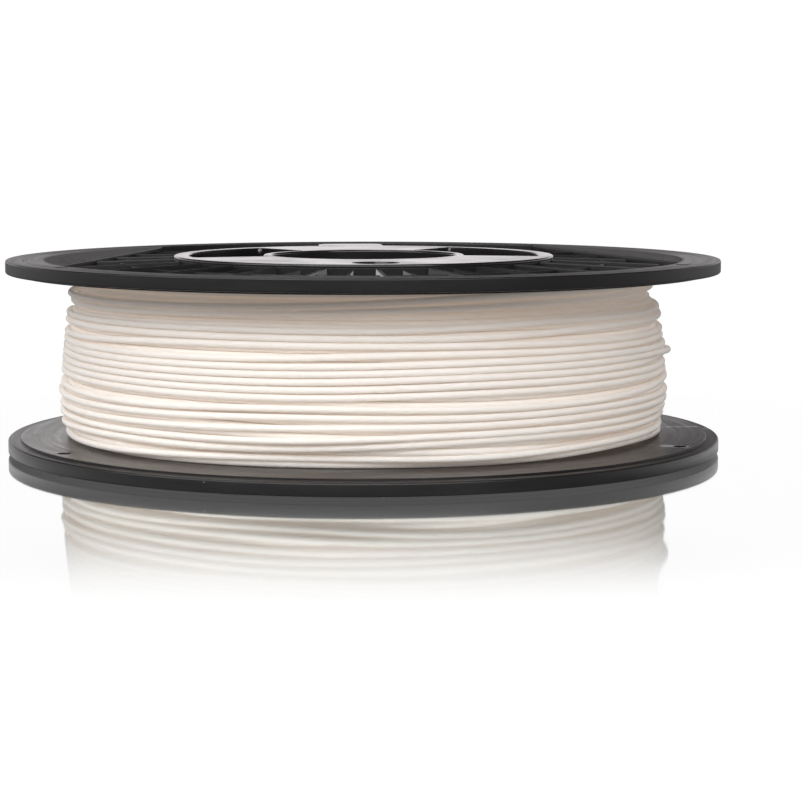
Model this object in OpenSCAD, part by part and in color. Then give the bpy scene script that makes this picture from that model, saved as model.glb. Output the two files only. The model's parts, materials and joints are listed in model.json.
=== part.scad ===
// Filament spool, 200 mm by 55 mm, carrying a part-used winding of 1.75 mm filament.
// Two flanges slide onto a winding drum's ends. Two hub halves pass through them from outside
// and snap together in the middle, so their end rings clamp the flanges to the drum.
// Millimetres. The spool's axis is Z, it rests on Z = 0, and its drive hole is towards -Y.

/* [Spool] */
// Flange diameter
flange_d = 200; // [196:1:204]
// Width over the hub's two end faces
spool_w = 55; // [50:0.5:60]
// Bore that the spool holder goes through
bore_d = 52; // [50.5:0.5:53]
// How far the hub's end face stands out of the flange rim
hub_proud = 0.9; // [0.6:0.1:1.2]

/* [Flanges] */
// Thickness of the rim
flange_t = 4.1; // [3.6:0.1:4.6]
// Thickness of the web behind the ribs
web_t = 1.6; // [1.2:0.1:2]
// Rounding of the rim's two edges
rim_round = 0.5; // [0.3:0.1:0.8]
// Width of the step round the edge of each flange's inner face
step_w = 3.5; // [2:0.25:4.5]
// Depth of that step
step_depth = 0.6; // [0.3:0.1:0.9]
// Radial width of the plain rim
rim_w = 10; // [8:0.5:11]
// Number of long ribs
rib_count = 24; // [18:6:24]
// Thickness of the long ribs
long_rib_t = 1.2; // [0.8:0.1:1.6]
// Thickness of the short ribs
short_rib_t = 1; // [0.8:0.1:1.4]
// Middle radius of the low stiffening ring
low_ring_r = 67.8; // [66:0.2:69]
// Distance of the smooth pads' straight edges from the axis
pad_edge = 72.5; // [71:0.5:75]
// Angle of the smooth pads from the drive hole
pad_angle = 104; // [98:1:108]
// Diameter of the holes that hold a loose filament end
end_hole_d = 3.4; // [2.5:0.1:4]
// Distance of those holes from the axis
end_hole_r = 93; // [92.8:0.1:93.2]
// Angle of those holes from the drive hole
end_hole_angle = 62.3; // [55:0.1:65]

/* [Hub] */
// Outer diameter of the ring that laps over each flange
lap_ring_d = 106.8; // [106:0.2:108]
// Outer diameter of the barrel
barrel_d = 102; // [101.6:0.1:102]
// Wall of the barrel
barrel_t = 1.4; // [1.2:0.1:1.8]
// Wall of the bore sleeve
sleeve_t = 1.9; // [1.6:0.1:2.2]
// Thickness of the end plates
plate_t = 2; // [1.6:0.1:2.4]
// Thickness of the webs inside
hub_web_t = 1.6; // [1.2:0.1:2]
// Angle of the kidney windows' middles from the drive hole
window_angle = 109.5; // [106:0.5:111]
// Angle that each kidney window spans
window_span = 71; // [60:1:72]
// Drive hole diameter
drive_d = 11; // [10:0.1:11]
// Lead-in chamfer at the drive hole's two ends
drive_chamfer = 0.9; // [0.5:0.1:1.2]
// Distance of the drive hole from the axis
drive_r = 44.5; // [44:0.1:44.5]
// Width of the tongue opposite the drive hole
tongue_w = 19.4; // [18:0.2:20]
// Reach of the tongue from the axis
tongue_r = 65; // [62:0.5:66]

/* [Winding] */
// Outer diameter of the drum
drum_d = 108; // [107:0.2:110]
// Largest radius of the winding
winding_r = 84.8; // [70:0.1:90]

/* [Hidden] */
$fn = 96;

flange_r = flange_d / 2;
bore_r = bore_d / 2;
sleeve_r = bore_r + sleeve_t;
barrel_r = barrel_d / 2;
barrel_in_r = barrel_r - barrel_t;
lap_ring_r = lap_ring_d / 2;
drum_r = drum_d / 2;
half_w = spool_w / 2;
fit_gap = 0.15;
overlap = 0.4;
cut_over = 1;

// Flange, in its own frame: the inner face is z = 0 and the outer side is up
rim_in_r = flange_r - rim_w;
groove_r = 94.9;
groove_w = 0.3;
groove_depth = 0.3;
collar_r = lap_ring_r;
flange_hole_r = barrel_r + fit_gap;
rib_start_r = collar_r - overlap;
long_rib_start_h = flange_t - 0.02;
long_rib_end_h = flange_t - 1.2;
low_ring_h = flange_t - 1.05;
low_ring_t = 1.2;
short_rib_start_h = flange_t - 0.5;
short_rib_end_h = low_ring_h - 0.1;
pad_h = flange_t - 0.05;

// Hub half, in its own frame: the middle of the spool is z = 0 and the end face is up
lap_t = hub_proud;
edge_round = 0.5;
bore_chamfer = 0.5;
drive_boss_r = drive_d / 2 + 2;
window_start = window_angle - window_span / 2;
window_end = window_angle + window_span / 2;
window_corner_r = 1;
window_ledge = 0.4;
window_in_r = sleeve_r + window_ledge;
window_out_r = barrel_in_r - window_ledge;
web_angles = [34, window_start - 2, window_end + 2];
tongue_corner_r = 4;
lug_w = 3;
lug_x = 3.6;
lug_gap = 0.2;
hook_angles = [window_angle - 18, window_angle + 18];
hook_span = 12;
hook_in_r = barrel_in_r - 2.1;
hook_out_r = barrel_in_r - 0.3;
hook_root_h = 8;
hook_reach = 6.5;
barb_h = 2;
barb_r = barrel_r - 0.4;
catch_gap = 0.1;

// Winding and drum, in the spool's frame
face_lower = hub_proud + flange_t;
face_upper = spool_w - face_lower;
channel_w = face_upper - face_lower;
winding_gap = 0.1;
start_hole_r = 1.2;
start_hole_angle = -30;
start_hole_z = face_lower + 3;

// Points of an arc about c, from angle a0 to a1 in n steps
function arc(c, r, a0, a1, n) =
    [for (i = [0 : n]) let (a = a0 + (a1 - a0) * i / n) c + r * [cos(a), sin(a)]];

// Turn about the axis to an angle from the drive hole, with the part's +X towards the outside
module at_angle(a) {
    rotate([0, 0, a - 90]) children();
}

// Part of a ring, centred on the part's +X
module ring_part(r_in, r_out, z0, z1, span) {
    translate([0, 0, z0])
        rotate([0, 0, -span / 2])
            rotate_extrude(angle = span)
                translate([r_in, 0]) square([r_out - r_in, z1 - z0]);
}

// ---- Flange ----

module flange_disc() {
    edge_steps = 6;
    step_r = flange_r - step_w;
    outer_low = [flange_r - rim_round, step_depth + rim_round];
    outer_high = [flange_r - rim_round, flange_t - rim_round];
    rotate_extrude()
        polygon(concat(
            [[flange_hole_r, 0], [step_r, 0], [step_r, step_depth]],
            arc(outer_low, rim_round, -90, 0, edge_steps),
            arc(outer_high, rim_round, 0, 90, edge_steps),
            [[groove_r + groove_w, flange_t],
             [groove_r + groove_w / 2, flange_t - groove_depth],
             [groove_r, flange_t],
             [rim_in_r, flange_t],
             [rim_in_r, web_t],
             [collar_r, web_t],
             [collar_r, flange_t],
             [flange_hole_r, flange_t]]));
}

// A rib along +X whose top runs from height h0 to h1
module rib(r0, r1, h0, h1, t) {
    rotate([90, 0, 0])
        linear_extrude(t, center = true)
            polygon([[r0, web_t - overlap], [r1, web_t - overlap], [r1, h1], [r0, h0]]);
}

module smooth_pad() {
    low = web_t - overlap;
    intersection() {
        cylinder(r = rim_in_r + overlap, h = pad_h);
        translate([pad_edge, -flange_r, low]) cube([flange_r, flange_d, flange_t]);
    }
}

module flange() {
    step = 360 / rib_count;
    low_ring_in_r = low_ring_r - low_ring_t / 2;
    difference() {
        union() {
            flange_disc();
            translate([0, 0, web_t - overlap])
                difference() {
                    cylinder(r = low_ring_r + low_ring_t / 2, h = low_ring_h - web_t + overlap);
                    translate([0, 0, -cut_over]) cylinder(r = low_ring_in_r, h = flange_t + cut_over);
                }
            for (i = [0 : rib_count - 1]) {
                at_angle(i * step)
                    rib(rib_start_r, rim_in_r + overlap, long_rib_start_h, long_rib_end_h, long_rib_t);
                at_angle((i + 0.5) * step)
                    rib(rib_start_r, low_ring_r, short_rib_start_h, short_rib_end_h, short_rib_t);
            }
            for (side = [-1, 1])
                at_angle(side * pad_angle) smooth_pad();
        }
        for (side = [-1, 1])
            at_angle(side * end_hole_angle)
                translate([end_hole_r, 0, -cut_over])
                    cylinder(d = end_hole_d, h = flange_t + 2 * cut_over, $fn = 48);
    }
}

// ---- Hub half ----

module hub_shell() {
    steps = 4;
    lip_top = [lap_ring_r - edge_round, half_w - edge_round];
    rotate_extrude()
        polygon(concat(
            [[bore_r, 0], [sleeve_r, 0], [sleeve_r, half_w - plate_t], [barrel_in_r, half_w - plate_t],
             [barrel_in_r, 0], [barrel_r, 0], [barrel_r, half_w - lap_t], [lap_ring_r, half_w - lap_t]],
            arc(lip_top, edge_round, 0, 90, steps),
            [[bore_r + bore_chamfer, half_w], [bore_r, half_w - bore_chamfer]]));
}

// A kidney window's outline, with round corners, centred on +X
module window_outline() {
    r = window_corner_r;
    in_r = window_in_r + r;
    out_r = window_out_r - r;
    in_a = window_span / 2 - asin(r / in_r);
    out_a = window_span / 2 - asin(r / out_r);
    steps = 4;
    sides = 24;
    polygon(concat(
        arc([0, 0], window_out_r, -out_a, out_a, sides),
        arc(out_r * [cos(out_a), sin(out_a)], r, out_a, window_span / 2 + 90, steps),
        arc(in_r * [cos(in_a), sin(in_a)], r, window_span / 2 + 90, in_a + 180, steps),
        arc([0, 0], window_in_r, in_a, -in_a, sides),
        arc(in_r * [cos(in_a), -sin(in_a)], r, 180 - in_a, 270 - window_span / 2, steps),
        arc(out_r * [cos(out_a), -sin(out_a)], r, -window_span / 2 - 90, -out_a, steps)));
}

// The tongue lies on the flange's ribs, and its two lugs straddle one of them
module tongue() {
    bottom = half_w - lap_t;
    lug_bottom = half_w - hub_proud - flange_t + web_t + lug_gap;
    start_r = barrel_r - overlap;
    corner = tongue_w / 2 - tongue_corner_r;
    translate([start_r, -tongue_w / 2, bottom])
        cube([tongue_r - tongue_corner_r - start_r, tongue_w, lap_t]);
    translate([start_r, -corner, bottom])
        cube([tongue_r - start_r, 2 * corner, lap_t]);
    for (side = [-1, 1]) {
        translate([tongue_r - tongue_corner_r, side * corner, bottom])
            cylinder(r = tongue_corner_r, h = lap_t, $fn = 48);
        translate([collar_r + lug_gap, side * lug_x - lug_w / 2, lug_bottom])
            cube([tongue_r - tongue_corner_r - collar_r, lug_w, half_w - lug_bottom - lap_t / 2]);
    }
}

module hub_webs() {
    length = barrel_in_r - sleeve_r + 2 * overlap;
    for (side = [-1, 1], a = web_angles)
        at_angle(side * a)
            translate([sleeve_r - overlap, -hub_web_t / 2, 0])
                cube([length, hub_web_t, half_w - plate_t / 2]);
    at_angle(180)
        translate([sleeve_r - overlap, -hub_web_t / 2, 0])
            cube([length, hub_web_t, half_w - plate_t / 2]);
}

module hub_half() {
    difference() {
        union() {
            hub_shell();
            hub_webs();
            at_angle(180) tongue();
            intersection() {
                translate([0, -drive_r, 0]) cylinder(r = drive_boss_r, h = half_w - plate_t / 2, $fn = 64);
                cylinder(r = barrel_r - overlap, h = half_w);
            }
        }
        for (side = [-1, 1])
            at_angle(side * window_angle)
                translate([0, 0, half_w - plate_t - cut_over])
                    linear_extrude(plate_t + 2 * cut_over) window_outline();
        translate([0, -drive_r, -cut_over]) cylinder(d = drive_d, h = half_w + 2 * cut_over, $fn = 64);
        translate([0, -drive_r, half_w - drive_chamfer])
            cylinder(d1 = drive_d, d2 = drive_d + 4 * drive_chamfer, h = 2 * drive_chamfer, $fn = 64);
    }
}

// A springy arm on the barrel that reaches into the other half and ends in an outward barb
module snap_hook() {
    ring_part(hook_in_r, barrel_in_r + overlap, overlap, hook_root_h, hook_span);
    ring_part(hook_in_r, hook_out_r, -hook_reach, hook_root_h, hook_span);
    ring_part(hook_out_r - overlap, barb_r, -hook_reach, barb_h - hook_reach, hook_span);
}

module catch_slot() {
    slot_span = hook_span + 1;
    ring_part(
        barrel_in_r - overlap, barrel_r + overlap,
        hook_reach - barb_h - catch_gap, hook_reach + 2 * catch_gap, slot_span);
}

module at_hooks() {
    for (side = [-1, 1], a = hook_angles)
        at_angle(side * a) children();
}

// ---- Nodes ----

module flange_lower() {
    color("#1d1b1d")
        translate([0, 0, face_lower]) mirror([0, 0, 1]) flange();
}

module flange_upper() {
    color("#1d1b1d")
        translate([0, 0, face_upper]) flange();
}

module hub_lower() {
    color("#262426")
        translate([0, 0, half_w])
            mirror([0, 0, 1])
                difference() {
                    hub_half();
                    at_hooks() catch_slot();
                }
}

module hub_upper() {
    color("#262426")
        translate([0, 0, half_w]) {
            hub_half();
            at_hooks() snap_hook();
        }
}

module core_drum() {
    drum_in_r = barrel_r + 1.5 * fit_gap;
    color("#333033")
        difference() {
            translate([0, 0, face_lower]) cylinder(r = drum_r, h = channel_w);
            cylinder(r = drum_in_r, h = spool_w);
            at_angle(start_hole_angle)
                translate([barrel_r - cut_over, 0, start_hole_z])
                    rotate([0, 90, 0]) cylinder(r = start_hole_r, h = drum_r - barrel_r + 2 * cut_over, $fn = 32);
        }
}

// The packed turns, with the slight belly and the slack last turns of a part-used spool
module filament_winding() {
    low = face_lower + winding_gap;
    high = face_upper - winding_gap;
    w = high - low;
    color("#f1ebe6")
        rotate_extrude()
            polygon([
                [drum_r + winding_gap, low],
                [winding_r - 1.2, low],
                [winding_r - 0.2, low + 0.2 * w],
                [winding_r, low + 0.4 * w],
                [winding_r - 1, low + 0.65 * w],
                [winding_r - 3.6, low + 0.86 * w],
                [winding_r - 2.4, high],
                [drum_r + winding_gap, high]]);
}

flange_lower();
flange_upper();
hub_lower();
hub_upper();
core_drum();
filament_winding();
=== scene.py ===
"""The filament spool's looks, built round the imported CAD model.

Metres. The spool's axis is Z, it rests on its lower hub face, and its drive hole is towards -Y.
"""

import json
import math

import bmesh
import bpy
import numpy as np
from mathutils import Matrix, Vector


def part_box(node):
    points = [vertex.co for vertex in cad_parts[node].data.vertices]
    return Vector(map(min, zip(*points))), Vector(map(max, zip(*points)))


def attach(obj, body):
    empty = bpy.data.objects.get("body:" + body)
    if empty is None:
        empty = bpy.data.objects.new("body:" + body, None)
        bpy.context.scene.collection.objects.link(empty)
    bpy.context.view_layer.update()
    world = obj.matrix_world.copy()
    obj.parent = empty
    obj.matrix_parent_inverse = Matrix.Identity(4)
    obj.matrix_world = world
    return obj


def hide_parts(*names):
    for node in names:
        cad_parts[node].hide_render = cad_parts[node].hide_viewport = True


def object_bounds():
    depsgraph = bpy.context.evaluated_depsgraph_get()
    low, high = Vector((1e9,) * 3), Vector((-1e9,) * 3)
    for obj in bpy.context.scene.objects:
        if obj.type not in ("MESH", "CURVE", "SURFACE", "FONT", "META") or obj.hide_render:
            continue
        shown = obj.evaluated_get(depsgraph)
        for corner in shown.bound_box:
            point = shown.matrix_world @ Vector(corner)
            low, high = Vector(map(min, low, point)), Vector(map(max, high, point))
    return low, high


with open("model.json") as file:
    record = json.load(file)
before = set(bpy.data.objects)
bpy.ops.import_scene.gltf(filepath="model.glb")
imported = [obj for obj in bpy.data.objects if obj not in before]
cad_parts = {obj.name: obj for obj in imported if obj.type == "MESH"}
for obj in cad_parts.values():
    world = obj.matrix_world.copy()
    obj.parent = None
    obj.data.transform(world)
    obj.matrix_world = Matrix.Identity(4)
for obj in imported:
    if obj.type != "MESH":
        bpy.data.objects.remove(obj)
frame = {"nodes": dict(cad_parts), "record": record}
CAD_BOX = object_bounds()

scene = bpy.context.scene
MM = 0.001
FULL_TURN = 2 * math.pi

# ---- Sizes from the frame ----

MOUNTS = {mount["name"]: mount for mount in frame["record"]["mounts"]}


def mount_radius(name):
    return MOUNTS[name]["dims"]["r_mm"] * MM


FLOOR_Z = CAD_BOX[0].z
HUB_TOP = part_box("hub_upper")[1].z
HUB_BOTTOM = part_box("hub_lower")[0].z
MIDDLE = (HUB_TOP + HUB_BOTTOM) / 2
HALF_W = HUB_TOP - MIDDLE
FLANGE_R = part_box("flange_upper")[1].x
FLANGE_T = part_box("flange_upper")[1].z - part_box("flange_upper")[0].z
FACE_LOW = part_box("flange_lower")[1].z
FACE_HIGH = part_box("flange_upper")[0].z
HALF_CHANNEL = (FACE_HIGH - FACE_LOW) / 2
HUB_PROUD = HUB_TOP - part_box("flange_upper")[1].z
LAP_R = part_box("hub_upper")[1].x
DRUM_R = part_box("core_drum")[1].x
WINDING_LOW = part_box("filament_winding")[0].z
WINDING_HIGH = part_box("filament_winding")[1].z
WINDING_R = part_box("filament_winding")[1].x
BORE_R = mount_radius("spool_bore")
DRIVE_HOLE_R = mount_radius("drive_hole")
DRIVE_R = -MOUNTS["drive_hole"]["pos_m"][1]
END_HOLE_R = mount_radius("end_hole_upper_left")
END_HOLES = [MOUNTS[f"end_hole_upper_{side}"]["pos_m"] for side in ("left", "right")]

# ---- Camera ----

CAMERA_DISTANCE = 674.2 * MM
CAMERA_HEIGHT = 89.0 * MM
CAMERA_SIDE = math.radians(-4)
CAMERA_YAW = math.radians(0.892)
CAMERA_PITCH = math.radians(6.406)
CAMERA_LENS = 107.1


def make_camera():
    """Low in front of the spool, a little to the left of its drive hole."""
    data = bpy.data.cameras.new("camera")
    data.lens = CAMERA_LENS
    data.clip_start = 0.01
    data.clip_end = 50
    camera = bpy.data.objects.new("camera", data)
    scene.collection.objects.link(camera)
    camera.location = (
        CAMERA_DISTANCE * math.sin(CAMERA_SIDE),
        -CAMERA_DISTANCE * math.cos(CAMERA_SIDE),
        FLOOR_Z + CAMERA_HEIGHT,
    )
    heading = CAMERA_YAW - CAMERA_SIDE
    forward = Vector(
        (
            math.sin(heading) * math.cos(CAMERA_PITCH),
            math.cos(heading) * math.cos(CAMERA_PITCH),
            -math.sin(CAMERA_PITCH),
        )
    )
    camera.rotation_mode = "QUATERNION"
    camera.rotation_quaternion = forward.to_track_quat("-Z", "Y")
    scene.camera = camera


# ---- Mesh tools ----

RING_STEPS = 480
HOLE_STEPS = 96
# How far joined parts reach into each other
OVERLAP = 0.4 * MM
# How far faces that would lie level with each other are kept apart
SINK = 0.02 * MM
# How far a cutter stands out of what it cuts
BEYOND = 1 * MM


def mesh_object(name, points, faces):
    mesh = bpy.data.meshes.new(name)
    mesh.from_pydata(points, [], faces)
    mesh.update()
    piece = bpy.data.objects.new(name, mesh)
    scene.collection.objects.link(piece)
    return piece


def face_outwards(piece):
    shape = bmesh.new()
    shape.from_mesh(piece.data)
    bmesh.ops.recalc_face_normals(shape, faces=shape.faces)
    shape.to_mesh(piece.data)
    shape.free()


def rounded(corners, steps):
    """The outline through corners (x, y, radius), each rounded by an arc of its radius."""
    outline = []
    for i, (x, y, radius) in enumerate(corners):
        here = Vector((x, y))
        if radius == 0:
            outline.append((x, y))
            continue
        before = (Vector(corners[i - 1][:2]) - here).normalized()
        after = (Vector(corners[(i + 1) % len(corners)][:2]) - here).normalized()
        half = before.angle(after) / 2
        centre = here + (before + after).normalized() * radius / math.sin(half)
        first = here + before * radius / math.tan(half) - centre
        last = here + after * radius / math.tan(half) - centre
        start = math.atan2(first.y, first.x)
        sweep = math.remainder(math.atan2(last.y, last.x) - start, FULL_TURN)
        for step in range(steps + 1):
            angle = start + sweep * step / steps
            outline.append((centre.x + radius * math.cos(angle), centre.y + radius * math.sin(angle)))
    return outline


def arc_points(radius, angles, x=0, y=0):
    """Points (x, y) of a circle at some angles from +X."""
    return [(x + radius * math.cos(a), y + radius * math.sin(a)) for a in angles]


def lifted(outline, height):
    """An outline's points (x, y), put at a height."""
    return [(x, y, height) for x, y in outline]


def quarter_circle():
    """Sines and cosines from 0 to a right angle, for the arc of a rounded edge."""
    leans = [math.pi / 2 * step / 4 for step in range(5)]
    return [(math.sin(lean), math.cos(lean)) for lean in leans]


def grid_faces(rows, columns, closed):
    """Faces between rows of points. Each row is a ring, and the rows form one too where closed."""
    i, j = np.meshgrid(np.arange(rows if closed else rows - 1), np.arange(columns), indexing="ij")
    next_i, next_j = (i + 1) % rows, (j + 1) % columns
    corners = [i * columns + j, next_i * columns + j, next_i * columns + next_j, i * columns + next_j]
    return np.stack(corners, axis=-1).reshape(-1, 4).tolist()


def revolve(name, outline, steps=RING_STEPS):
    """A ring whose section is the outline's (radius, height) points, taken anticlockwise."""
    section = np.array(outline)
    turn = np.linspace(0, FULL_TURN, steps, endpoint=False)
    count = len(section)
    points = np.empty((steps, count, 3))
    points[:, :, 0] = np.outer(np.cos(turn), section[:, 0])
    points[:, :, 1] = np.outer(np.sin(turn), section[:, 0])
    points[:, :, 2] = section[:, 1]
    return mesh_object(name, points.reshape(-1, 3).tolist(), grid_faces(steps, count, True))


def loft(name, sections):
    """A closed solid through sections, each a list of equally many points in space."""
    count = len(sections[0])
    points = [tuple(point) for section in sections for point in section]
    first_of_last = len(points) - count
    faces = [list(range(count)), list(range(first_of_last, len(points)))]
    faces += grid_faces(len(sections), count, False)
    piece = mesh_object(name, points, faces)
    face_outwards(piece)
    return piece


def apply_modifiers(piece):
    graph = bpy.context.evaluated_depsgraph_get()
    graph.update()
    shape = bpy.data.meshes.new_from_object(piece.evaluated_get(graph))
    piece.modifiers.clear()
    old = piece.data
    piece.data = shape
    bpy.data.meshes.remove(old)


def combine(base, tools, operation):
    """Joins the tools to the base (UNION) or cuts them from it (DIFFERENCE), and removes them."""
    group = bpy.data.collections.new("tools")
    scene.collection.children.link(group)
    for tool in tools:
        group.objects.link(tool)
    step = base.modifiers.new("combine", "BOOLEAN")
    step.operation = operation
    step.operand_type = "COLLECTION"
    step.collection = group
    step.solver = "MANIFOLD"
    apply_modifiers(base)
    for tool in tools:
        bpy.data.objects.remove(tool)
    bpy.data.collections.remove(group)
    return base


def turned(points, angle):
    """Points with their +X outwards, turned about the axis to an angle from the drive hole."""
    turn = Matrix.Rotation(angle - math.pi / 2, 3, "Z")
    return [turn @ Vector(point) for point in points]


def finish_mesh(piece):
    """Merges doubled points and shades the piece smooth between its sharp edges."""
    doubled = 0.002 * MM
    shape = bmesh.new()
    shape.from_mesh(piece.data)
    bmesh.ops.remove_doubles(shape, verts=shape.verts, dist=doubled)
    bmesh.ops.dissolve_degenerate(shape, edges=shape.edges, dist=doubled)
    shape.to_mesh(piece.data)
    shape.free()
    piece.data.shade_smooth()
    piece.data.set_sharp_from_angle(angle=math.radians(32))
    weighted = piece.modifiers.new("weighted", "WEIGHTED_NORMAL")
    weighted.keep_sharp = True
    apply_modifiers(piece)


def moved_copy(piece, name, move):
    """A copy whose mesh is moved by a matrix, turned inside out where that mirrors it."""
    mesh = piece.data.copy()
    mesh.transform(move)
    if move.determinant() < 0:
        mesh.flip_normals()
    copy = bpy.data.objects.new(name, mesh)
    scene.collection.objects.link(copy)
    return copy


# ---- Flange, in its own frame: the inner face is z = 0 and the outer side is up ----

WEB_T = 1.6 * MM
RIM_ROUND = 0.5 * MM
STEP_R = FLANGE_R - 3.5 * MM
STEP_DEPTH = 0.6 * MM
TOP_ROUND = 0.35 * MM
RIM_IN_R = FLANGE_R - 10 * MM
GROOVE_R = 94.9 * MM
GROOVE_W = 0.3 * MM
GROOVE_DEPTH = 0.3 * MM
FLANGE_HOLE_R = LAP_R - 2.25 * MM
LONG_RIB_T = 1.2 * MM
SHORT_RIB_T = 1 * MM
RIB_COUNT = 24
LOW_RING_R = 67.8 * MM
LOW_RING_T = 1.2 * MM
LOW_RING_H = FLANGE_T - 1.05 * MM
PAD_EDGE = 72.5 * MM
PAD_ANGLE = math.radians(104)
RIB_ROUND = 0.3 * MM
ROOT_ROUND = 0.3 * MM
RIB_DRAFT = 0.08 * MM


def flange_disc():
    """The web, the rim with its step and turned line, and the collar that the hub's ring laps over."""
    top = FLANGE_T
    groove_end = GROOVE_R + GROOVE_W
    corners = [
        (FLANGE_HOLE_R, 0, 0),
        (STEP_R, 0, 0.12 * MM),
        (STEP_R, STEP_DEPTH, 0.1 * MM),
        (FLANGE_R, STEP_DEPTH, RIM_ROUND),
        (FLANGE_R, top, TOP_ROUND),
        (groove_end, top, 0.08 * MM),
        (GROOVE_R + GROOVE_W / 2, top - GROOVE_DEPTH, 0),
        (GROOVE_R, top, 0.08 * MM),
        (RIM_IN_R, top, RIB_ROUND),
        (RIM_IN_R, WEB_T, ROOT_ROUND),
        (LAP_R, WEB_T, ROOT_ROUND),
        (LAP_R, top, 0.15 * MM),
        (FLANGE_HOLE_R, top, 0),
    ]
    return revolve("flange", rounded(corners, 6))


def bar_section(thickness, height):
    """Section of a rib, as (across, up), with a flared root, slight draft and rounded top edges."""
    half = thickness / 2
    root = WEB_T - SINK
    corners = [
        (-half - ROOT_ROUND, WEB_T - OVERLAP, 0),
        (half + ROOT_ROUND, WEB_T - OVERLAP, 0),
        (half + ROOT_ROUND, root, 0),
        (half, root, ROOT_ROUND * 0.9),
        (half - RIB_DRAFT, height, RIB_ROUND),
        (-half + RIB_DRAFT, height, RIB_ROUND),
        (-half, root, ROOT_ROUND * 0.9),
        (-half - ROOT_ROUND, root, 0),
    ]
    return rounded(corners, 4)


def rib(angle, r_end, h_start, h_end, thickness):
    """A radial rib whose top runs down from the collar to its outer end."""
    ends = ((LAP_R - OVERLAP, h_start), (r_end, h_end))
    sections = [
        turned([(radius, across, up) for across, up in bar_section(thickness, height)], angle)
        for radius, height in ends
    ]
    return loft("rib", sections)


def low_ring():
    section = bar_section(LOW_RING_T, LOW_RING_H)
    return revolve("low_ring", [(LOW_RING_R + across, up) for across, up in section])


def pad(angle):
    """The smooth pad between a straight edge and the rim, with its top edge rounded."""
    outer_r = RIM_IN_R + 0.6 * MM
    top = FLANGE_T - 0.01 * MM
    root = WEB_T - SINK
    levels = [(WEB_T - OVERLAP, -ROOT_ROUND), (root, -ROOT_ROUND)]
    for sine, cosine in quarter_circle()[1:]:
        levels.append((root + ROOT_ROUND * (1 - cosine), -ROOT_ROUND * (1 - sine)))
    for sine, cosine in quarter_circle():
        levels.append((top - RIB_ROUND * (1 - sine), RIB_ROUND * (1 - cosine)))
    sections = []
    for height, inset in levels:
        edge = PAD_EDGE + inset
        reach = math.acos(edge / outer_r)
        outline = arc_points(outer_r, np.linspace(-reach, reach, 97))
        sections.append(turned(lifted(outline, height), angle))
    return loft("pad", sections)


def end_hole(x, y):
    """A cutter for a filament retention hole, with a small chamfer at both ends."""
    chamfer = 0.2 * MM
    wide = END_HOLE_R + chamfer
    levels = [(-BEYOND, wide)]
    for sine, _ in quarter_circle():
        levels.append((chamfer * sine - SINK, END_HOLE_R + chamfer * (1 - sine)))
    for _, cosine in quarter_circle():
        levels.append((FLANGE_T - chamfer * cosine + SINK, END_HOLE_R + chamfer * (1 - cosine)))
    levels.append((FLANGE_T + BEYOND, wide))
    turn = np.linspace(0, FULL_TURN, HOLE_STEPS, endpoint=False)
    sections = [lifted(arc_points(radius, turn, x, y), height) for height, radius in levels]
    return loft("hole", sections)


def make_flange():
    """Both flanges. The lower one is the upper one's mirror image."""
    step = FULL_TURN / RIB_COUNT
    long_end = FLANGE_T - 1.2 * MM
    short_start = FLANGE_T - 0.5 * MM
    short_end = LOW_RING_H - 0.1 * MM
    tools = [low_ring()]
    for i in range(RIB_COUNT):
        tools.append(rib(i * step, RIM_IN_R + OVERLAP, FLANGE_T - SINK, long_end, LONG_RIB_T))
        tools.append(rib((i + 0.5) * step, LOW_RING_R, short_start, short_end, SHORT_RIB_T))
    tools += [pad(PAD_ANGLE), pad(-PAD_ANGLE)]
    flange = combine(flange_disc(), tools, "UNION")
    combine(flange, [end_hole(x, y) for x, y, _ in END_HOLES], "DIFFERENCE")
    finish_mesh(flange)
    upper = moved_copy(flange, "flange_plate_upper", Matrix.Translation((0, 0, FACE_HIGH)))
    flip = Matrix.Translation((0, 0, FACE_LOW)) @ Matrix.Diagonal((1, 1, -1, 1))
    lower = moved_copy(flange, "flange_plate_lower", flip)
    bpy.data.objects.remove(flange)
    return upper, lower


# ---- Hub half, in its own frame: the middle of the spool is z = 0 and the end face is up ----

PLATE_T = 2 * MM
BARREL_R = 51 * MM
BARREL_IN_R = BARREL_R - 1.4 * MM
SLEEVE_R = BORE_R + 1.9 * MM
WINDOW_ANGLE = math.radians(109.5)
WINDOW_SPAN = math.radians(71)
WINDOW_LEDGE = 0.4 * MM
WINDOW_IN_R = SLEEVE_R + WINDOW_LEDGE
WINDOW_OUT_R = BARREL_IN_R - WINDOW_LEDGE
WINDOW_CORNER = 1 * MM
WINDOW_EDGE = 0.3 * MM
HUB_WEB_T = 1.6 * MM
DRIVE_CHAMFER = 0.9 * MM
LIP_ROUND = 0.5 * MM
TONGUE_W = 19.4 * MM
TONGUE_R = 65 * MM
TONGUE_CORNER = 4 * MM
TONGUE_EDGE = 0.25 * MM
LUG_W = 3 * MM
LUG_X = 3.6 * MM
HOOK_SPAN = math.radians(12)
HOOK_ROOT_H = 8 * MM
HOOK_REACH = 6.5 * MM
BARB_H = 2 * MM
BARB_R = BARREL_R - 0.4 * MM
# Keeps faces of the hooks' parts from lying in one plane
STAGGER = 0.01 * MM


def hub_shell():
    """The end plate with the bore sleeve, the barrel and the ring that laps over the flange."""
    under = HALF_W - PLATE_T
    corners = [
        (BORE_R, 0, 0),
        (SLEEVE_R, 0, 0),
        (SLEEVE_R, under, 0.3 * MM),
        (BARREL_IN_R, under, 0.3 * MM),
        (BARREL_IN_R, 0, 0),
        (BARREL_R, 0, 0),
        (BARREL_R, HALF_W - HUB_PROUD, 0),
        (LAP_R, HALF_W - HUB_PROUD, 0.1 * MM),
        (LAP_R, HALF_W, LIP_ROUND),
        (BORE_R, HALF_W, 0.6 * MM),
    ]
    return revolve("hub", rounded(corners, 6))


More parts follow.
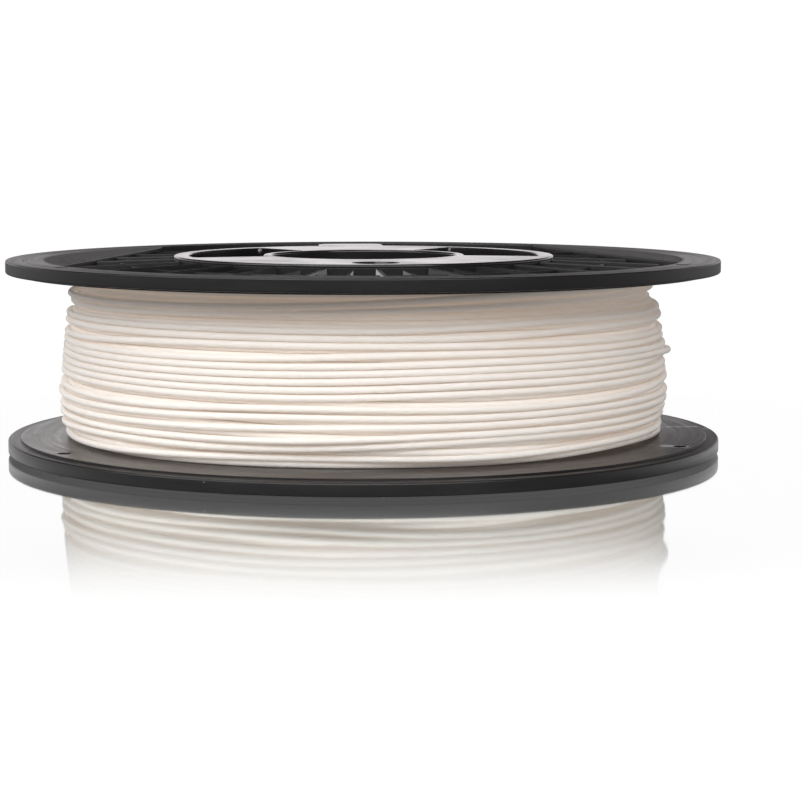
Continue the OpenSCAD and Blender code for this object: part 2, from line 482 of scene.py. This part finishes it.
def window_outline(grow):
    """A kidney window's outline, centred on +X and grown by a margin all round."""
    in_r = WINDOW_IN_R + WINDOW_CORNER
    out_r = WINDOW_OUT_R - WINDOW_CORNER
    half = WINDOW_SPAN / 2
    in_a = half - math.asin(WINDOW_CORNER / in_r)
    out_a = half - math.asin(WINDOW_CORNER / out_r)
    corner = WINDOW_CORNER + grow
    quarter = math.pi / 2

    def arc(centre_r, centre_a, radius, start, end, steps):
        x, y = centre_r * math.cos(centre_a), centre_r * math.sin(centre_a)
        return arc_points(radius, np.linspace(start, end, steps + 1), x, y)

    return (
        arc(0, 0, WINDOW_OUT_R + grow, -out_a, out_a, 72)[:-1]
        + arc(out_r, out_a, corner, out_a, half + quarter, 8)
        + arc(in_r, in_a, corner, half + quarter, in_a + math.pi, 8)[:-1]
        + arc(0, 0, WINDOW_IN_R - grow, in_a, -in_a, 48)[:-1]
        + arc(in_r, -in_a, corner, math.pi - in_a, 3 * quarter - half, 8)
        + arc(out_r, -out_a, corner, -half - quarter, -out_a, 8)[:-1]
    )


def window(angle):
    """A cutter for a kidney window, chamfered where it meets the end face."""
    levels = [(HALF_W - PLATE_T - BEYOND, 0), (HALF_W - WINDOW_EDGE, 0)]
    for step in range(1, 5):
        cosine = math.cos(math.pi / 2 * step / 5)
        levels.append((HALF_W - WINDOW_EDGE * cosine + SINK / 2, WINDOW_EDGE * (1 - cosine)))
    levels += [(HALF_W, WINDOW_EDGE), (HALF_W + BEYOND, WINDOW_EDGE)]
    sections = [turned(lifted(window_outline(grow), height), angle) for height, grow in levels]
    return loft("window", sections)


def tongue_plate():
    """The tongue's plate, with round outer corners and a rounded top edge."""
    levels = [(HALF_W - HUB_PROUD, 0)]
    for sine, cosine in quarter_circle():
        levels.append((HALF_W - TONGUE_EDGE * (1 - sine), TONGUE_EDGE * (1 - cosine)))
    start = BARREL_R - OVERLAP
    half = TONGUE_W / 2
    sections = []
    for height, inset in levels:
        corner = TONGUE_CORNER - inset
        corners = [
            (start, -half + inset, 0),
            (TONGUE_R - inset, -half + inset, corner),
            (TONGUE_R - inset, half - inset, corner),
            (start, half - inset, 0),
        ]
        sections.append(turned(lifted(rounded(corners, 12), height), math.pi))
    return loft("tongue", sections)


def block(low, high, angle):
    """A box between two corners, in the turned frame, with its four upright edges rounded."""
    edge = 0.15 * MM
    plan = [(low[0], low[1]), (high[0], low[1]), (high[0], high[1]), (low[0], high[1])]
    outline = rounded([(x, y, edge) for x, y in plan], 3)
    sections = [turned(lifted(outline, height), angle) for height in (low[2], high[2])]
    return loft("block", sections)


def ring_part(in_r, out_r, low, high, angle, span):
    """Part of a ring about an angle from the drive hole."""
    turn = np.linspace(-span / 2, span / 2, 13)
    outline = arc_points(in_r, turn) + arc_points(out_r, turn[::-1])
    sections = [turned(lifted(outline, height), angle) for height in (low, high)]
    return loft("ring_part", sections)


def lugs():
    """Two short ribs that stand under the tongue, down to just above the flange's web."""
    low = HALF_W - HUB_PROUD - FLANGE_T + WEB_T + 0.2 * MM
    high = HALF_W - HUB_PROUD / 2
    start = LAP_R + 0.2 * MM
    end = start + TONGUE_R - TONGUE_CORNER - LAP_R
    return [
        block((start, side * LUG_X - LUG_W / 2, low), (end, side * LUG_X + LUG_W / 2, high), math.pi)
        for side in (-1, 1)
    ]


def hub_webs():
    """Walls between sleeve and barrel, by the drive hole, opposite it and beside the windows."""
    start = SLEEVE_R - OVERLAP
    end = BARREL_IN_R + OVERLAP
    half = HUB_WEB_T / 2
    top = HALF_W - PLATE_T / 2
    past_window = WINDOW_SPAN / 2 + math.radians(2)
    near = [math.radians(34), WINDOW_ANGLE - past_window, WINDOW_ANGLE + past_window]
    angles = [side * angle for side in (-1, 1) for angle in near] + [math.pi]
    return [block((start, -half, 0), (end, half, top), angle) for angle in angles]


def drive_boss():
    """The wall round the drive hole, cut off where it would pass the barrel's outside."""
    turn = np.linspace(0, FULL_TURN, 72, endpoint=False)
    boss_r = DRIVE_HOLE_R + 2 * MM
    limit = BARREL_R - OVERLAP
    outline = []
    for x, y in arc_points(boss_r, turn, 0, -DRIVE_R):
        point = Vector((x, y))
        if point.length > limit:
            point = point.normalized() * limit
        outline.append(point)
    return loft("boss", [lifted(outline, height) for height in (0, HALF_W - PLATE_T / 2)])


def hook_angles():
    offset = math.radians(18)
    return [side * (WINDOW_ANGLE + turn) for side in (-1, 1) for turn in (-offset, offset)]


def snap_hooks():
    """Each hook is a root on the barrel's wall, an arm into the other half, and a barb at its end."""
    in_r = BARREL_IN_R - 2.1 * MM
    out_r = BARREL_IN_R - 0.3 * MM
    parts = []
    for angle in hook_angles():
        root_top, arm_top = HOOK_ROOT_H, HOOK_ROOT_H - STAGGER
        tip, barb_top = -HOOK_REACH, BARB_H - HOOK_REACH
        parts.append(ring_part(in_r, BARREL_IN_R + OVERLAP, OVERLAP, root_top, angle, HOOK_SPAN))
        parts.append(ring_part(in_r + STAGGER, out_r, tip, arm_top, angle, HOOK_SPAN * 0.999))
        parts.append(ring_part(out_r - OVERLAP, BARB_R, tip + STAGGER, barb_top, angle, HOOK_SPAN * 0.998))
    return parts


def catch_slots():
    """Cutters for the slots in the lower half's barrel that the barbs stand in."""
    low = HOOK_REACH - BARB_H - 0.1 * MM
    high = HOOK_REACH + 0.2 * MM
    in_r, out_r = BARREL_IN_R - OVERLAP, BARREL_R + OVERLAP
    span = HOOK_SPAN + math.radians(1)
    return [ring_part(in_r, out_r, low, high, angle, span) for angle in hook_angles()]


def drive_hole():
    """A cutter for the drive hole, with a lead-in chamfer whose edges are softened."""
    wide = DRIVE_HOLE_R + DRIVE_CHAMFER
    top = HALF_W + SINK / 2
    corners = [
        (DRIVE_HOLE_R, -BEYOND, 0),
        (DRIVE_HOLE_R, HALF_W - DRIVE_CHAMFER, 0.1 * MM),
        (wide, top, 0.1 * MM),
        (wide + BEYOND, top, 0),
        (wide + BEYOND, HALF_W + BEYOND, 0),
    ]
    turn = np.linspace(0, FULL_TURN, HOLE_STEPS, endpoint=False)
    outline = rounded(corners, 4)
    sections = [lifted(arc_points(radius, turn, 0, -DRIVE_R), height) for radius, height in outline]
    return loft("drive_hole", sections)


def make_hub_half(name, move, added, removed):
    """One half, with the parts that only it has added and removed, moved to its place."""
    hub = combine(hub_shell(), hub_webs() + [tongue_plate(), drive_boss()] + lugs() + added, "UNION")
    combine(hub, [window(WINDOW_ANGLE), window(-WINDOW_ANGLE), drive_hole()] + removed, "DIFFERENCE")
    finish_mesh(hub)
    piece = moved_copy(hub, name, move)
    bpy.data.objects.remove(hub)
    return piece


def make_hub():
    """The upper half with its snap hooks, and the lower one with the slots that they catch in."""
    flip = Matrix.Translation((0, 0, MIDDLE)) @ Matrix.Diagonal((1, 1, -1, 1))
    upper = make_hub_half("hub_half_upper", Matrix.Translation((0, 0, MIDDLE)), snap_hooks(), [])
    lower = make_hub_half("hub_half_lower", flip, [], catch_slots())
    return upper, lower


# ---- Winding: one strand, laid turn by turn on what is already there ----

STRAND_D = 1.75 * MM
STRAND_SIDES = 12
PER_TURN = 240
SEED = 57
LOWEST = WINDING_LOW + STRAND_D / 2
HIGHEST = WINDING_HIGH - STRAND_D / 2
TURN_ANGLE = math.pi / 2 + FULL_TURN * np.arange(PER_TURN) / PER_TURN
IN_FRONT = (0.5 - 0.5 * np.sin(TURN_ANGLE)) ** 4
FRONT_SLACK = 6.5 * MM
CORE_RIDGES = 24
# The layer that the last turns make, after three that run up, down and up again
LAST_LAYER = 3


def inner_floor(z, in_front=IN_FRONT):
    """Radius that the hidden turns give the centre line of the first layer.

    It falls short of the winding's largest radius by a drop that varies with the height. The
    lowest turns are also pulled in at the front, where the strand leaves the flange's face bare.
    """
    heights = np.array([6, 8, 9.3, 11, 15, 21, 26, 32, 37, 41, 43.5, 49]) * MM
    drop = np.array([3, 3.8, 4.9, 4.5, 3.9, 3.8, 4.0, 4.6, 5.3, 5.9, 8, 7.6]) * MM
    slack = FRONT_SLACK * in_front * np.exp(-(((z - LOWEST) / (4.5 * MM)) ** 2))
    return WINDING_R - np.interp(z, heights, drop) - slack


def smooth(values, width):
    """Gaussian smoothing along the strand, with its ends held."""
    reach = int(3 * width)
    kernel = np.exp(-0.5 * (np.arange(-reach, reach + 1) / width) ** 2)
    padded = np.concatenate([np.full(reach, values[0]), values, np.full(reach, values[-1])])
    return np.convolve(padded, kernel / kernel.sum(), mode="valid")


def widest(values, reach):
    """The largest value within a reach of samples either way."""
    padded = np.concatenate([np.full(reach, values[0]), values, np.full(reach, values[-1])])
    return np.max([padded[i : i + len(values)] for i in range(2 * reach + 1)], axis=0)


def resting_radius(z, laid_z, laid_r):
    """Where a strand at height z comes to rest on the floor and on the turns already laid."""
    if len(laid_z) == 0:
        return inner_floor(z)
    reach = STRAND_D**2 - (z - laid_z) ** 2
    over = np.where(reach > 0, laid_r + np.sqrt(np.maximum(reach, 0)), 0)
    return np.maximum(inner_floor(z), over.max(axis=0))


def wander(turns, rng):
    """A smooth random walk to and fro, by turn."""
    total = np.zeros_like(turns)
    for rate, size in ((0.13, 0.35), (0.41, 0.45), (0.83, 0.5), (1.37, 0.42), (2.1, 0.26), (3.3, 0.1)):
        total += size * np.sin(FULL_TURN * (rate * turns + rng.random()))
    return total


def last_turns():
    """Heights of the last three turns: one by the flange, and two that sag away from it in front."""
    degrees = np.array([90, 140, 187, 204, 233, 250, 266, 280, 296, 330, 450])
    sags = np.array(
        [
            [1.5, 0.3, 0, 0, 0, 0, 0, 0, 0, 0, 0],
            [0, 4.2, 6.2, 6.2, 5.5, 5.0, 4.2, 3.7, 2.9, 2.1, 1.9],
            [1.9, 3.6, 4.4, 4.2, 3.7, 3.2, 2.5, 1.3, 0.2, 0, 0],
        ]
    )
    return [HIGHEST - np.interp(TURN_ANGLE, np.radians(degrees), sag * MM) for sag in sags]


def traverse_plan():
    """Height wanted for every sample of the strand, and the layer that it belongs to."""
    rng = np.random.default_rng(SEED)
    span = HIGHEST - LOWEST
    layers = [
        # turns, first height, last height, wander, gap above the lowest turn
        (24, LOWEST, HIGHEST, 0.15 * MM, 0),
        (23, HIGHEST, LOWEST, 0.5 * MM, 0),
        (15, LOWEST, LOWEST + 0.8 * span, 0.85 * MM, 2.6 * MM),
    ]
    wanted, layer_of = [], []
    for index, (turns, first, last, play, gap) in enumerate(layers):
        t = np.arange(turns * PER_TURN) / PER_TURN
        climbed = np.clip((t - 1) / 0.7, 0, 1)
        path = first + (last - first) * t / turns + gap * climbed * (1 - t / turns)
        wanted.append(path + play * np.minimum(climbed + 0.1, 1) * wander(t + 40 * index, rng))
        layer_of.append(np.full(len(t), index))
    wanted += last_turns()
    layer_of.append(np.full(3 * PER_TURN, LAST_LAYER))
    wanted = smooth(np.concatenate(wanted), 8)
    return np.clip(wanted, LOWEST, HIGHEST), np.concatenate(layer_of)


def best_slips(path, laid_z, laid_r):
    """How far each sample of a turn slips up or down, to come to rest low and near its own path."""
    slips = np.linspace(-1.8, 1.8, 37) * MM
    limit = WINDING_R - STRAND_D / 2 + 0.3 * MM
    costs = []
    for slip in slips:
        rest = resting_radius(np.clip(path + slip, LOWEST, HIGHEST), laid_z, laid_r)
        costs.append(rest + 2 * np.maximum(rest - limit, 0) + 0.2 * abs(slip) + 60 * slip**2)
    return slips[np.argmin(costs, axis=0)]


def lay_strand():
    """The strand's centre line as heights and radii, one row for each turn, and its layers."""
    wanted, layer_of = traverse_plan()
    wanted = wanted.reshape(-1, PER_TURN)
    layer_of = layer_of.reshape(-1, PER_TURN)
    laid_z, laid_r = np.zeros((0, PER_TURN)), np.zeros((0, PER_TURN))
    lead_in = 60
    slip = np.zeros(PER_TURN)
    for path, layer in zip(wanted, layer_of[:, 0]):
        best = best_slips(path, laid_z, laid_r) if layer < LAST_LAYER else np.zeros(PER_TURN)
        slip = smooth(np.concatenate([slip[-lead_in:], best]), 9)[lead_in:]
        z = np.clip(path + slip, LOWEST, HIGHEST)
        r = resting_radius(z, laid_z, laid_r)
        before = laid_r[-1][-lead_in:] if len(laid_r) else r[:1]
        r = smooth(np.concatenate([before, widest(r, 3)]), 5)[len(before) :]
        laid_z, laid_r = np.vstack([laid_z, z]), np.vstack([laid_r, r])
    return laid_z, laid_r, layer_of


def tube(name, path):
    """A round tube of the strand's diameter along a path of points, with closed ends."""
    along = np.gradient(path, axis=0)
    along /= np.linalg.norm(along, axis=1, keepdims=True)
    outward = path * (1, 1, 0)
    outward -= along * np.sum(outward * along, axis=1, keepdims=True)
    outward /= np.linalg.norm(outward, axis=1, keepdims=True)
    across = np.cross(along, outward)
    turn = np.linspace(0, FULL_TURN, STRAND_SIDES, endpoint=False)
    ring = np.cos(turn)[None, :, None] * outward[:, None] + np.sin(turn)[None, :, None] * across[:, None]
    points = (path[:, None] + STRAND_D / 2 * ring).reshape(-1, 3)
    faces = grid_faces(len(path), STRAND_SIDES, False)
    faces.append(list(range(STRAND_SIDES)))
    faces.append(list(range(len(points) - STRAND_SIDES, len(points)))[::-1])
    piece = mesh_object(name, points.tolist(), faces)
    face_outwards(piece)
    piece.data.shade_smooth()
    return piece


def make_turns():
    """The strand, cut between layers into three pieces. The last turns belong to the third."""
    z, r, layer_of = lay_strand()
    z, r, layer_of = z.ravel(), smooth(r.ravel(), 3), layer_of.ravel()
    angle = math.pi / 2 + FULL_TURN * np.arange(len(z)) / PER_TURN
    path = np.stack([r * np.cos(angle), r * np.sin(angle), z], axis=-1)
    names = ["filament_turns_inner", "filament_turns_middle", "filament_turns_outer"]
    pieces = []
    for index, name in enumerate(names):
        chosen = np.flatnonzero(layer_of == index if index < 2 else layer_of >= 2)
        last = min(chosen[-1] + 2, len(path))
        pieces.append(tube(name, path[chosen[0] : last]))
    return pieces


def make_packed_core():
    """The hidden turns as one ring, ridged where the outermost of them would show."""
    pitch = (HIGHEST - LOWEST) / CORE_RIDGES
    heights = LOWEST + pitch * (np.arange(CORE_RIDGES) + 0.5)
    rise = math.sqrt(STRAND_D**2 - (pitch / 2) ** 2)
    in_r = DRUM_R + 0.1 * MM
    outline = [(in_r, WINDING_LOW)]
    for height in heights:
        centre = float(inner_floor(height, 1)) - rise
        for lean in np.linspace(-math.pi / 2, math.pi / 2, 9):
            outline.append((centre + STRAND_D / 2 * math.cos(lean), height + STRAND_D / 2 * math.sin(lean)))
    outline.append((in_r, WINDING_HIGH))
    piece = revolve("filament_core", outline, 192)
    piece.data.shade_smooth()
    piece.data.set_sharp_from_angle(angle=math.radians(40))
    return piece


# ---- Materials ----


class Nodes:
    """A material's node tree, with short calls for the nodes that the finishes use."""

    def __init__(self, tree):
        self.tree = tree

    def add(self, kind, **settings):
        node = self.tree.nodes.new(kind)
        for name, value in settings.items():
            setattr(node, name, value)
        return node

    def link(self, output, socket):
        self.tree.links.new(output, socket)

    def math(self, operation, *values):
        node = self.add("ShaderNodeMath", operation=operation)
        for socket, value in zip(node.inputs, values):
            self.feed(value, socket)
        return node.outputs[0]

    def feed(self, value, socket):
        if isinstance(value, bpy.types.NodeSocket):
            self.link(value, socket)
        else:
            socket.default_value = value

    def object_point(self):
        return self.add("ShaderNodeTexCoord").outputs["Object"]

    def noise(self, point, scale, detail, roughness):
        node = self.add("ShaderNodeTexNoise")
        self.link(point, node.inputs["Vector"])
        node.inputs["Scale"].default_value = scale
        node.inputs["Detail"].default_value = detail
        node.inputs["Roughness"].default_value = roughness
        return node.outputs["Fac"]

    def range(self, value, low, high, out_low, out_high):
        node = self.add("ShaderNodeMapRange", interpolation_type="SMOOTHSTEP")
        for name, number in (("Value", value), ("From Min", low), ("From Max", high)):
            self.feed(number, node.inputs[name])
        self.feed(out_low, node.inputs["To Min"])
        self.feed(out_high, node.inputs["To Max"])
        return node.outputs["Result"]

    def mix_colour(self, factor, first, second):
        node = self.add("ShaderNodeMix", data_type="RGBA")
        self.feed(factor, node.inputs["Factor"])
        colours = [s for s in node.inputs if s.type == "RGBA"]
        for socket, value in zip(colours, (first, second)):
            self.feed(value if isinstance(value, bpy.types.NodeSocket) else (*value, 1), socket)
        return next(s for s in node.outputs if s.type == "RGBA")

    def dot(self, first, second):
        node = self.add("ShaderNodeVectorMath", operation="DOT_PRODUCT")
        self.feed(first, node.inputs[0])
        self.feed(second, node.inputs[1])
        return node.outputs["Value"]

    def scaled(self, vector, factors):
        node = self.add("ShaderNodeVectorMath", operation="MULTIPLY")
        self.feed(vector, node.inputs[0])
        self.feed(factors, node.inputs[1])
        return node.outputs["Vector"]

    def radius(self, x, y):
        return self.math("SQRT", self.math("ADD", self.math("MULTIPLY", x, x), self.math("MULTIPLY", y, y)))

    def turned_point(self, point, stretch):
        """Coordinates that follow the turning marks: radius, height, and a little of the angle."""
        split = self.add("ShaderNodeSeparateXYZ")
        self.link(point, split.inputs[0])
        x, y, z = split.outputs
        joined = self.add("ShaderNodeCombineXYZ")
        self.link(self.radius(x, y), joined.inputs[0])
        self.link(z, joined.inputs[1])
        self.link(self.math("MULTIPLY", self.math("ARCTAN2", y, x), stretch), joined.inputs[2])
        return joined.outputs[0]

    def bump(self, height, depth, normal=None):
        node = self.add("ShaderNodeBump")
        node.inputs["Distance"].default_value = depth
        node.inputs["Strength"].default_value = 1
        self.link(height, node.inputs["Height"])
        if normal is not None:
            self.link(normal, node.inputs["Normal"])
        return node.outputs[0]


def new_material(name):
    material = bpy.data.materials.new(name)
    material.use_nodes = True
    return material, Nodes(material.node_tree), material.node_tree.nodes["Principled BSDF"]


def dust(nodes, point, cells, size):
    """Sparse round specks: about one cell in seven holds one."""
    cell = nodes.add("ShaderNodeTexVoronoi")
    nodes.link(point, cell.inputs["Vector"])
    cell.inputs["Scale"].default_value = cells
    near = nodes.math("LESS_THAN", cell.outputs["Distance"], size)
    split = nodes.add("ShaderNodeSeparateXYZ")
    nodes.link(cell.outputs["Color"], split.inputs[0])
    return nodes.math("MULTIPLY", near, nodes.math("LESS_THAN", split.outputs[0], 0.14))


def flange_plastic():
    """Satin black plastic: turning marks on the flat faces, a painted sheen on the rib sides, a painted
    warm reflection on the inner faces, and a little dust.
    """
    material, nodes, shader = new_material("flange_satin_black")
    point = nodes.object_point()
    marks = nodes.noise(nodes.turned_point(point, 0.004), 900, 4, 0.6)
    grain = nodes.noise(point, 2600, 2, 0.5)
    patches = nodes.range(nodes.noise(point, 45, 3, 0.5), 0.3, 0.7, 0, 1)
    plain = nodes.mix_colour(patches, (0.0085, 0.0078, 0.0085), (0.0125, 0.0115, 0.012))
    speck = dust(nodes, point, 240, 0.035)
    nodes.link(nodes.mix_colour(speck, plain, (0.32, 0.31, 0.3)), shader.inputs["Base Color"])
    normal = nodes.add("ShaderNodeNewGeometry").outputs["Normal"]
    outward = nodes.add("ShaderNodeVectorMath", operation="NORMALIZE")
    nodes.link(nodes.scaled(point, (1, 1, 0)), outward.inputs[0])

    # Masks: the sides away from the winding, their flat tops, the rim, and the ribs' upright sides
    level = nodes.math("ABSOLUTE", nodes.dot(normal, (0, 0, 1)))
    facing_out = nodes.math("ABSOLUTE", nodes.dot(normal, outward.outputs[0]))
    from_middle = nodes.math("ABSOLUTE", nodes.math("SUBTRACT", nodes.dot(point, (0, 0, 1)), MIDDLE))
    outside = nodes.range(from_middle, HALF_CHANNEL + 0.1 * MM, HALF_CHANNEL + 0.7 * MM, 0, 1)
    flat_top = nodes.math("MULTIPLY", nodes.range(level, 0.95, 0.995, 0, 1), outside)
    rim = nodes.range(nodes.dot(point, outward.outputs[0]), RIM_IN_R - 1 * MM, RIM_IN_R, 0, 1)
    upright = nodes.range(level, 0.2, 0.5, 1, 0)
    painted_sheen_rib_side = nodes.math("MULTIPLY", upright, nodes.range(facing_out, 0.2, 0.5, 1, 0))

    # The rim's flat top is turned, so its gloss is drawn out across the marks
    side_roughness = nodes.range(outside, 0, 1, 0.3, 0.33)
    top_roughness = nodes.range(rim, 0, 1, 0.52, 0.42)
    roughness = nodes.range(flat_top, 0, 1, side_roughness, top_roughness)
    worn = nodes.range(marks, 0.3, 0.7, -0.035, 0.035)
    nodes.link(nodes.math("ADD", roughness, worn), shader.inputs["Roughness"])
    turned_rim = nodes.math("MULTIPLY", flat_top, rim)
    nodes.link(nodes.math("MULTIPLY", turned_rim, 0.6), shader.inputs["Anisotropic"])
    shader.inputs["Anisotropic Rotation"].default_value = 0.25
    round_axis = nodes.add("ShaderNodeTangent", direction_type="RADIAL", axis="Z")
    nodes.link(round_axis.outputs[0], shader.inputs["Tangent"])

    # The ribs' upright sides get a painted sheen that makes them look lit, and the inner faces a warm
    # specular tint that is a painted reflection of the winding
    nodes.link(painted_sheen_rib_side, shader.inputs["Sheen Weight"])
    shader.inputs["Sheen Roughness"].default_value = 0.3
    # Painted reflection: a warm specular tint on the inner faces stands in for the winding's reflection in
    # them
    painted_warm_reflection = nodes.mix_colour(outside, (1, 0.88, 0.82), (1, 1, 1))
    nodes.link(painted_warm_reflection, shader.inputs["Specular Tint"])
    relief = nodes.bump(grain, 0.006 * MM)
    nodes.link(nodes.bump(marks, 0.005 * MM, relief), shader.inputs["Normal"])
    shader.inputs["IOR"].default_value = 1.45
    return material


def hub_plastic():
    """Glossier black plastic, smooth from a polished mould."""
    material, nodes, shader = new_material("hub_gloss_black")
    point = nodes.object_point()
    cloud = nodes.noise(point, 60, 3, 0.5)
    grain = nodes.noise(point, 1800, 3, 0.55)
    patches = nodes.range(cloud, 0.3, 0.7, 0, 1)
    plain = nodes.mix_colour(patches, (0.010, 0.0095, 0.010), (0.014, 0.013, 0.0135))
    speck = dust(nodes, point, 260, 0.03)
    nodes.link(nodes.mix_colour(speck, plain, (0.3, 0.3, 0.3)), shader.inputs["Base Color"])
    nodes.link(nodes.range(cloud, 0.3, 0.7, 0.15, 0.22), shader.inputs["Roughness"])
    nodes.link(nodes.bump(grain, 0.0025 * MM), shader.inputs["Normal"])
    shader.inputs["IOR"].default_value = 1.52
    return material


def drum_plastic():
    """Plain black plastic, hidden under the winding."""
    material, nodes, shader = new_material("drum_plain_black")
    point = nodes.object_point()
    grain = nodes.noise(point, 1500, 3, 0.5)
    cloud = nodes.noise(point, 80, 3, 0.5)
    plain = nodes.mix_colour(cloud, (0.012, 0.011, 0.012), (0.02, 0.019, 0.02))
    nodes.link(plain, shader.inputs["Base Color"])
    nodes.link(nodes.range(grain, 0.3, 0.7, 0.42, 0.52), shader.inputs["Roughness"])
    nodes.link(nodes.bump(grain, 0.006 * MM), shader.inputs["Normal"])
    return material


def filament_plastic():
    """Warm white extruded plastic: a soft gloss, slightly see-through, with faint draw lines.

    Its weak emission stands for the light that spreads along the strand.
    """
    material, nodes, shader = new_material("filament_warm_white")
    point = nodes.object_point()
    patches = nodes.range(nodes.noise(point, 30, 3, 0.5), 0.3, 0.7, 0, 1)
    lines = nodes.noise(nodes.turned_point(point, 0.01), 1500, 2, 0.5)
    grain = nodes.noise(point, 1200, 2, 0.5)
    plain = nodes.mix_colour(patches, (0.925, 0.84, 0.765), (0.94, 0.86, 0.79))
    nodes.link(plain, shader.inputs["Base Color"])
    nodes.link(nodes.range(lines, 0.3, 0.7, 0.5, 0.58), shader.inputs["Roughness"])
    relief = nodes.bump(lines, 0.002 * MM)
    nodes.link(nodes.bump(grain, 0.003 * MM, relief), shader.inputs["Normal"])
    shader.inputs["Emission Color"].default_value = (1, 0.88, 0.78, 1)
    shader.inputs["Emission Strength"].default_value = 0.07
    shader.inputs["Subsurface Weight"].default_value = 0.9
    shader.inputs["Subsurface Radius"].default_value = (1, 1, 1)
    shader.inputs["Subsurface Scale"].default_value = 4 * MM
    shader.inputs["IOR"].default_value = 1.46
    return material


def paint(piece, material):
    piece.data.materials.clear()
    piece.data.materials.append(material)


# ---- Stage and light ----

# Distances from the axis between which the floor's mirror image fades away
MIRROR_NEAR = 148 * MM
MIRROR_FAR = 238 * MM
# Tints of the backdrop and of the mirror, which give a nearly neutral white together
BACKDROP_TINT = (1, 0.96, 0.97, 1)
MIRROR_TINT = (0.81, 0.843, 0.835, 1)
LIGHT_TARGET = Vector((0, 0, 30 * MM))


def make_floor():
    """White glossy table: its mirror image fades away from the spool and from above.

    To the camera it is white, and it lights the spool only weakly. It can't be seen from below, so
    that it doesn't hide the spool's underside.
    """
    bpy.ops.mesh.primitive_plane_add(size=16, location=(0, 0, FLOOR_Z))
    floor = bpy.context.object
    floor.name = "floor"
    material, nodes, shader = new_material("floor_white")
    split = nodes.add("ShaderNodeSeparateXYZ")
    nodes.link(nodes.object_point(), split.inputs[0])
    x, y, _ = split.outputs
    table = nodes.add("ShaderNodeEmission")
    seen = nodes.add("ShaderNodeLightPath").outputs["Is Camera Ray"]
    nodes.link(nodes.range(seen, 0, 1, 0.22, 1.02), table.inputs["Strength"])
    mirror = nodes.add("ShaderNodeBsdfGlossy")
    mirror.inputs["Roughness"].default_value = 0.05
    mirror.inputs["Color"].default_value = MIRROR_TINT
    gloss = nodes.add("ShaderNodeFresnel")
    gloss.inputs["IOR"].default_value = 1.5
    grazing = nodes.range(gloss.outputs[0], 0.1, 0.42, 0, 1)
    near = nodes.range(nodes.radius(x, y), MIRROR_NEAR, MIRROR_FAR, 0.94, 0)
    blend = nodes.add("ShaderNodeMixShader")
    nodes.link(nodes.math("MULTIPLY", near, grazing), blend.inputs[0])
    nodes.link(table.outputs[0], blend.inputs[1])
    nodes.link(mirror.outputs[0], blend.inputs[2])
    nodes.tree.nodes.remove(shader)
    from_below = nodes.add("ShaderNodeMixShader")
    nodes.link(nodes.add("ShaderNodeNewGeometry").outputs["Backfacing"], from_below.inputs[0])
    nodes.link(blend.outputs[0], from_below.inputs[1])
    nodes.link(nodes.add("ShaderNodeBsdfTransparent").outputs[0], from_below.inputs[2])
    nodes.link(from_below.outputs[0], nodes.tree.nodes["Material Output"].inputs["Surface"])
    paint(floor, material)


def make_world():
    """Studio with a narrow bright backdrop behind and beside the spool, and dim above it.

    To the camera it is past white everywhere, so that its tint doesn't show.
    """
    world = bpy.data.worlds.new("studio")
    world.use_nodes = True
    scene.world = world
    nodes = Nodes(world.node_tree)
    direction = nodes.add("ShaderNodeTexCoord").outputs["Generated"]
    split = nodes.add("ShaderNodeSeparateXYZ")
    nodes.link(direction, split.inputs[0])
    _, y, z = split.outputs
    behind = nodes.range(y, -0.4, 0.3, 0.2, 1)
    low = nodes.range(z, 0.16, 0.26, 1.16, 0)
    strength = nodes.math("MULTIPLY_ADD", behind, low, 0.06)
    seen = nodes.add("ShaderNodeLightPath").outputs["Is Camera Ray"]
    level = nodes.range(seen, 0, 1, strength, 1.09)
    background = world.node_tree.nodes["Background"]
    background.inputs["Color"].default_value = BACKDROP_TINT
    nodes.link(level, background.inputs["Strength"])


def softbox(name, place, size, watts):
    data = bpy.data.lights.new(name, "AREA")
    data.shape = "RECTANGLE"
    data.size, data.size_y = size
    data.energy = watts
    light = bpy.data.objects.new(name, data)
    scene.collection.objects.link(light)
    light.location = place
    light.rotation_mode = "QUATERNION"
    light.rotation_quaternion = (LIGHT_TARGET - Vector(place)).to_track_quat("-Z", "Y")


def make_lights():
    """A wide soft light high in front, with two weak ones above and at the left."""
    softbox("front", (-0.05, -1.25, 0.72), (2.2, 0.6), 22)
    softbox("overhead", (-0.35, -0.1, 1.1), (0.8, 0.8), 5)
    softbox("left", (-1.15, -0.45, 0.62), (0.9, 0.5), 6)


# ---- Assembly ----


def place(piece, nodes, slot, material):
    """Gives a visual piece its material, hangs it under the root body, and hides the CAD nodes that it
    stands for.
    """
    paint(piece, material)
    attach(piece, "root")
    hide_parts(*nodes)


make_camera()
flange_black, hub_black = flange_plastic(), hub_plastic()
drum_black, filament_white = drum_plastic(), filament_plastic()
flange_upper, flange_lower = make_flange()
place(flange_upper, ["flange_upper"], "flange", flange_black)
place(flange_lower, ["flange_lower"], "flange", flange_black)
hub_upper, hub_lower = make_hub()
place(hub_upper, ["hub_upper"], "hub", hub_black)
place(hub_lower, ["hub_lower"], "hub", hub_black)
for winding_piece in [make_packed_core(), *make_turns()]:
    place(winding_piece, ["filament_winding"], "filament", filament_white)
paint(frame["nodes"]["core_drum"], drum_black)
make_floor()
make_world()
make_lights()
scene.view_settings.view_transform = "Standard"
